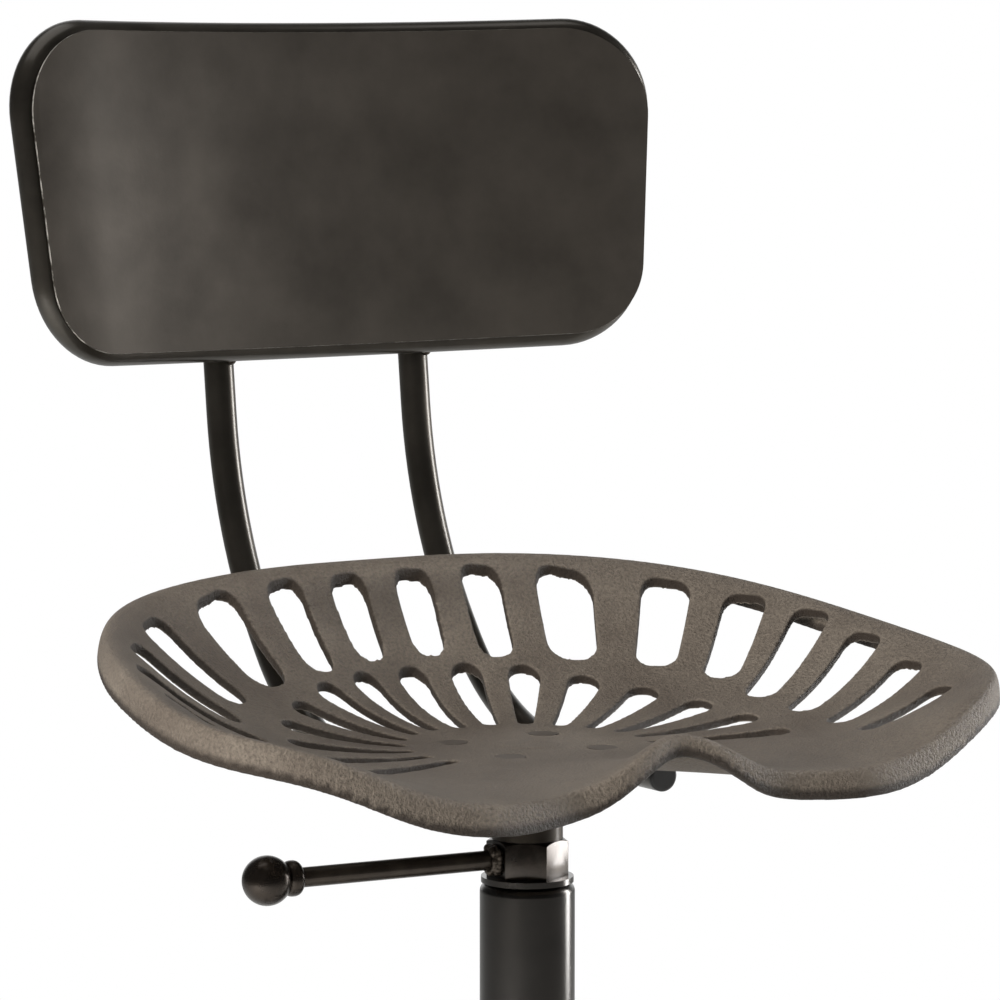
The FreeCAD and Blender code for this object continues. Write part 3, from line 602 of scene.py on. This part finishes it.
def run_tree(piece, tree, **values):
    """Runs a node tree on a piece, with its named inputs, and keeps the result as plain mesh."""
    modifier = piece.modifiers.new(tree.name, "NODES")
    modifier.node_group = tree
    for item in tree.interface.items_tree:
        if item.in_out == "INPUT" and item.name.replace(" ", "_") in values:
            modifier[item.identifier] = values[item.name.replace(" ", "_")]
    return settled(piece)


def islands(node):
    """The corners of each separate solid of a CAD node."""
    work = bmesh.new()
    work.from_mesh(nodes[node].data)
    bmesh.ops.remove_doubles(work, verts=work.verts, dist=same_point)
    reached = set()
    found = []
    for corner in work.verts:
        if corner in reached:
            continue
        reached.add(corner)
        island = [corner]
        # The list grows while it is walked, so the corners come in the same order each time.
        for member in island:
            for link in member.link_edges:
                other = link.other_vert(member)
                if other not in reached:
                    reached.add(other)
                    island.append(other)
        found.append([member.co.copy() for member in island])
    work.free()
    return found


# Bronze lacquer on a weld: the same coat, duller where it bridges the ripples and the spatter.
weld_lacquer = bronze_lacquer("bronze lacquer on weld", "#3a332d", "#4d453d", 0.9, 0.36, 0.5, 4)


def melted(piece, detail):
    """The piece's separate drops run together into one bead."""
    fuse = piece.modifiers.new("molten together", "REMESH")
    fuse.mode = "VOXEL"
    fuse.voxel_size = detail
    settled(piece)
    piece.data.shade_smooth()
    piece.data.materials.clear()
    piece.data.materials.append(weld_lacquer)


bead_unevenness = 0.22
steps_per_radius = 6


def lay_beads(node, name, body, radius, spacing, seed):
    """A rippled bead in place of each of a node's plain ones, along its longest way."""
    lines = []
    runs = []
    for points in islands(node):
        middle = sum(points, Vector()) / len(points)
        far = max(points, key=lambda point: (point - middle).length)
        axis = (far - middle).normalized()
        spans = [(point - middle).dot(axis) for point in points]
        start = middle + axis * (min(spans) + radius)
        end = middle + axis * (max(spans) - radius)
        runs.append((len(lines), len(lines) + 1))
        lines.extend([start, end])
    piece = new_piece(name, lines, runs, [])
    run_tree(piece, bead_tree, Bead_Radius=radius, Ripple_Spacing=spacing, Unevenness=bead_unevenness,
             Seed=seed, Finish=weld_lacquer)
    melted(piece, radius / steps_per_radius)
    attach(piece, body)
    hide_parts(node)


lay_beads("back_welds", "back_beads", "seat", radius=0.0030, spacing=0.0016, seed=3)
lay_beads("panel_tacks", "panel_tack_beads", "seat", radius=0.0020, spacing=0.0013, seed=5)
lay_beads("plate_welds", "plate_beads", "seat", radius=0.0024, spacing=0.0016, seed=7)
lay_beads("leg_welds", "leg_beads", "base", radius=0.0027, spacing=0.0016, seed=11)
lay_beads("ring_welds", "ring_beads", "base", radius=0.0030, spacing=0.0016, seed=13)

# The lever's weld is a rough collar, built up in several passes round the bar against the nut's flat.
weld_low, weld_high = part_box("lever_weld")
weld_middle = (weld_low + weld_high) / 2
lever_bearing = math.radians(175.0)
lever_way = Vector((math.cos(lever_bearing), math.sin(lever_bearing), 0.0))
lever_side = Vector((-lever_way.y, lever_way.x, 0.0))
weld_passes = [(0.0070, -0.0010), (0.0060, 0.0012)]
pass_points = 20
collar_step = 0.0004
collar_points = []
collar_runs = []
for pass_radius, way_out in weld_passes:
    first = len(collar_points)
    for k in range(pass_points):
        angle = 2 * math.pi * k / pass_points
        rise = Vector((0, 0, math.sin(angle) * pass_radius))
        pass_spot = lever_side * math.cos(angle) * pass_radius + rise
        collar_points.append(weld_middle + pass_spot + lever_way * way_out)
        collar_runs.append((first + k, first + (k + 1) % pass_points))
collar = new_piece("lever_collar_weld", collar_points, collar_runs, [])
run_tree(collar, bead_tree, Bead_Radius=0.0025, Ripple_Spacing=0.0023, Unevenness=0.6, Seed=17,
         Finish=weld_lacquer)
melted(collar, collar_step)
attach(collar, "lever")
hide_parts("lever_weld")


# Seat plate and hub. A flame-cut steel plate under the pan, with a thick sleeve welded to its middle
# that holds the screw's top end. Both are lacquered like the tubes.
plate_lacquer = bronze_lacquer("bronze lacquer on plate", "#2b2621", "#39332c", 0.95, 0.42, 0.55, 25)
dress("seat_plate", plate_lacquer)
dress("spindle_hub", plate_lacquer)
dress("hub_weld", weld_lacquer)


# Seat nuts and washers. Zinc-plated steel on the bolts under the plate, and the same on the screw's
# lower end, where a washer and a bolt hold the guide bush.
# Zinc plate on steel: pale grey, fairly bright, slightly mottled by the plating's crystals.
zinc, tree, shader, spot = new_finish("zinc plate on steel")
shader.inputs["Metallic"].default_value = 1.0
mottle = place(tree, "ShaderNodeTexVoronoi", {
    "Vector": spot, "Scale": millimetres(1.6),
}, feature="SMOOTH_F1")
zinc_colour = place(tree, "ShaderNodeMix", {
    0: mottle.outputs["Distance"], 6: linear("#9c9c99"), 7: linear("#b9b9b6"),
}, data_type="RGBA")
zinc_gloss = place(tree, "ShaderNodeMapRange", {
    "Value": mottle.outputs["Distance"], "To Min": 0.3, "To Max": 0.42,
})
feed(tree, shader, Base_Color=zinc_colour.outputs[2], Roughness=zinc_gloss.outputs["Result"])
for node in ("seat_washers", "seat_nuts", "retainer_washer", "retainer_bolt"):
    dress(node, zinc)


# Screw. A steel bar 24 mm across with a coarse trapezoidal thread of 5 mm pitch, which carries the seat
# and rises out of the column as it turns. Its plain lower end carries the guide bush.
screw_low, screw_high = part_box("screw_spindle")
screw_radius = 0.012
journal_radius = 0.008
journal_length = 0.0240
tip_chamfer = 0.0015
bolt_hole_radius = 0.004
bolt_hole_depth = 0.020
thread_pitch = 0.005
thread_depth = 0.0022
thread_run_in = 0.0005
rows_per_pitch = 10
around = 56
thread_start = screw_low.z + journal_length + tip_chamfer
profile = [
    (0.0, screw_low.z + bolt_hole_depth),
    (bolt_hole_radius, screw_low.z + bolt_hole_depth),
    (bolt_hole_radius, screw_low.z),
    (journal_radius, screw_low.z),
    (journal_radius, thread_start - tip_chamfer),
    (screw_radius - tip_chamfer, thread_start - tip_chamfer),
]
rows = int((screw_high.z - thread_start) / thread_pitch * rows_per_pitch)
for k in range(rows + 1):
    profile.append((screw_radius, thread_start + (screw_high.z - thread_start) * k / rows))
profile.append((0.0, screw_high.z))
work = bmesh.new()
rings = []
for radius, level in profile:
    if radius == 0.0:
        rings.append([work.verts.new((0.0, 0.0, level))])
    else:
        angles = [2 * math.pi * k / around for k in range(around)]
        rings.append([work.verts.new((radius * math.cos(a), radius * math.sin(a), level)) for a in angles])
for low, high in zip(rings, rings[1:]):
    for k in range(around):
        following = (k + 1) % around
        corners = [low[k % len(low)], low[following % len(low)]]
        corners += [high[following % len(high)], high[k % len(high)]]
        work.faces.new(list(dict.fromkeys(corners)))
bmesh.ops.recalc_face_normals(work, faces=work.faces)
screw_mesh = bpy.data.meshes.new("threaded_screw")
work.to_mesh(screw_mesh)
work.free()
screw = new_object("threaded_screw", screw_mesh)

# The tree presses a trapezoidal groove into the bar, one turn for each pitch. The crest's half width
# and the distance to the groove's floor are shares of the pitch.
crest_half = 0.18
floor_from = 0.32
thread_tree = bpy.data.node_groups.new("cut thread", "GeometryNodeTree")
thread_tree.is_modifier = True
thread_tree.interface.new_socket("Geometry", in_out="OUTPUT", socket_type="NodeSocketGeometry")
group_input(thread_tree, "Geometry", "NodeSocketGeometry")
group_input(thread_tree, "Pitch", "NodeSocketFloat")
group_input(thread_tree, "Depth", "NodeSocketFloat")
group_input(thread_tree, "Thread Start", "NodeSocketFloat")
group_input(thread_tree, "Bar Radius", "NodeSocketFloat")
group_input(thread_tree, "Finish", "NodeSocketMaterial")
given = place(thread_tree, "NodeGroupInput")
position = place(thread_tree, "GeometryNodeInputPosition")
here = place(thread_tree, "ShaderNodeSeparateXYZ", {0: position.outputs[0]})
bearing = place(thread_tree, "ShaderNodeMath", {
    0: here.outputs["Y"], 1: here.outputs["X"],
}, operation="ARCTAN2")
turn_share = place(thread_tree, "ShaderNodeMath", {
    0: bearing.outputs[0], 1: 2 * math.pi,
}, operation="DIVIDE")
turns_up = place(thread_tree, "ShaderNodeMath", {
    0: here.outputs["Z"], 1: given.outputs["Pitch"],
}, operation="DIVIDE")
phase = place(thread_tree, "ShaderNodeMath", {
    0: turns_up.outputs[0], 1: turn_share.outputs[0],
}, operation="SUBTRACT")
wave = place(thread_tree, "ShaderNodeMath", {0: phase.outputs[0], 1: 1.0, 2: 0.0}, operation="WRAP")
offset = place(thread_tree, "ShaderNodeMath", {0: wave.outputs[0], 1: 0.5}, operation="SUBTRACT")
from_middle = place(thread_tree, "ShaderNodeMath", {0: offset.outputs[0]}, operation="ABSOLUTE")
groove = place(thread_tree, "ShaderNodeMapRange", {
    "Value": from_middle.outputs[0], "From Min": crest_half, "From Max": floor_from,
})
depth = place(thread_tree, "ShaderNodeMath", {0: groove.outputs["Result"], 1: given.outputs["Depth"]},
              operation="MULTIPLY")
left_radius = place(thread_tree, "ShaderNodeMath", {0: given.outputs["Bar Radius"], 1: depth.outputs[0]},
                    operation="SUBTRACT")
shrink = place(thread_tree, "ShaderNodeMath", {0: left_radius.outputs[0], 1: given.outputs["Bar Radius"]},
               operation="DIVIDE")
new_x = place(thread_tree, "ShaderNodeMath", {
    0: here.outputs["X"], 1: shrink.outputs[0],
}, operation="MULTIPLY")
new_y = place(thread_tree, "ShaderNodeMath", {
    0: here.outputs["Y"], 1: shrink.outputs[0],
}, operation="MULTIPLY")
new_spot = place(thread_tree, "ShaderNodeCombineXYZ", {
    0: new_x.outputs[0], 1: new_y.outputs[0], 2: here.outputs["Z"],
})
in_thread = place(thread_tree, "FunctionNodeCompare", {
    0: here.outputs["Z"], 1: given.outputs["Thread Start"],
}, data_type="FLOAT", operation="GREATER_THAN")
cut = place(thread_tree, "GeometryNodeSetPosition", {
    "Geometry": given.outputs["Geometry"],
    "Selection": in_thread.outputs[0],
    "Position": new_spot.outputs[0],
})
real_screw = place(thread_tree, "GeometryNodeRealizeInstances", {"Geometry": cut.outputs["Geometry"]})
oiled = place(thread_tree, "GeometryNodeSetMaterial", {
    "Geometry": real_screw.outputs["Geometry"], "Material": given.outputs["Finish"],
})
place(thread_tree, "NodeGroupOutput", {"Geometry": oiled.outputs["Geometry"]})

# Oiled machined steel: grey, with turning marks round the bar that the oil softens. The marks are about
# 0.1 mm apart, and they are drawn at 0.5 mm so that they show.
oiled_steel, tree, shader, spot = new_finish("oiled machined steel")
shader.inputs["Metallic"].default_value = 1.0
stretch = place(tree, "ShaderNodeMapping", {"Vector": spot, "Scale": (1.0, 1.0, 6.0)})
tool_marks = place(tree, "ShaderNodeTexNoise", {
    "Vector": stretch.outputs[0], "Scale": millimetres(3), "Detail": 4.0,
})
steel_colour = place(tree, "ShaderNodeMix", {
    0: tool_marks.outputs["Fac"], 6: linear("#6a6762"), 7: linear("#8f8c87"),
}, data_type="RGBA")
steel_gloss = place(tree, "ShaderNodeMapRange", {
    "Value": tool_marks.outputs["Fac"], "To Min": 0.26, "To Max": 0.42,
})
steel_relief = place(tree, "ShaderNodeBump", {
    "Height": tool_marks.outputs["Fac"], "Distance": 0.00003, "Strength": 0.5,
})
feed(tree, shader, Base_Color=steel_colour.outputs[2], Roughness=steel_gloss.outputs["Result"],
     Normal=steel_relief.outputs["Normal"])
run_tree(screw, thread_tree, Pitch=thread_pitch, Depth=thread_depth,
         Thread_Start=thread_start + thread_run_in, Bar_Radius=screw_radius, Finish=oiled_steel)
screw.data.shade_smooth()
screw.data.set_sharp_from_angle(angle=math.radians(50))
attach(screw, "seat")
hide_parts("screw_spindle")


# Guide bush. Turned natural nylon, a sliding fit in the pipe.
# Natural nylon: cream, waxy and slightly see-through, with lathe rings. They are about 0.2 mm apart,
# and they are drawn at 0.8 mm so that they show.
nylon, tree, shader, spot = new_finish("turned natural nylon")
shader.inputs["IOR"].default_value = 1.53
shader.inputs["Subsurface Weight"].default_value = 0.15
shader.inputs["Subsurface Scale"].default_value = 0.003
rings_only = place(tree, "ShaderNodeMapping", {"Vector": spot, "Scale": (0.1, 0.1, 1.0)})
lathe = place(tree, "ShaderNodeTexNoise", {
    "Vector": rings_only.outputs[0], "Scale": millimetres(0.8), "Detail": 2.0,
})
nylon_colour = place(tree, "ShaderNodeMix", {
    0: lathe.outputs["Fac"], 6: linear("#cfcabb"), 7: linear("#dedacd"),
}, data_type="RGBA")
nylon_gloss = place(tree, "ShaderNodeMapRange", {
    "Value": lathe.outputs["Fac"], "To Min": 0.35, "To Max": 0.5,
})
feed(tree, shader, Base_Color=nylon_colour.outputs[2], Roughness=nylon_gloss.outputs["Result"])
dress("guide_bush", nylon)


# Legs and foot ring. Bent steel tube in the same bronze lacquer, the legs welded to the column and the
# ring welded round the legs.
leg_lacquer = bronze_lacquer("baked bronze lacquer on legs", "#3c3731", "#4b463f", 0.75, 0.32, 0.44, 40)
for node in ("leg_front", "leg_left", "leg_rear", "leg_right", "foot_ring"):
    dress(node, leg_lacquer)


# Rubber feet. Black moulded rubber, pushed on the legs' ends.
# Moulded rubber: black, dusty and dull, with a fine skin that is drawn at 0.8 mm so that it shows.
rubber, tree, shader, spot = new_finish("moulded rubber")
shader.inputs["IOR"].default_value = 1.52
dusting = place(tree, "ShaderNodeTexNoise", {"Vector": spot, "Scale": millimetres(14), "Detail": 5.0})
rubber_colour = place(tree, "ShaderNodeMix", {
    0: dusting.outputs["Fac"], 6: linear("#191817"), 7: linear("#32302e"),
}, data_type="RGBA")
rubber_skin = place(tree, "ShaderNodeTexNoise", {
    "Vector": spot, "Scale": millimetres(0.8), "Detail": 2.0,
})
rubber_relief = place(tree, "ShaderNodeBump", {"Height": rubber_skin.outputs["Fac"], "Distance": 0.00008})
rubber_gloss = place(tree, "ShaderNodeMapRange", {
    "Value": dusting.outputs["Fac"], "To Min": 0.62, "To Max": 0.85,
})
feed(tree, shader, Base_Color=rubber_colour.outputs[2], Roughness=rubber_gloss.outputs["Result"],
     Normal=rubber_relief.outputs["Normal"])
dress("rubber_feet", rubber)
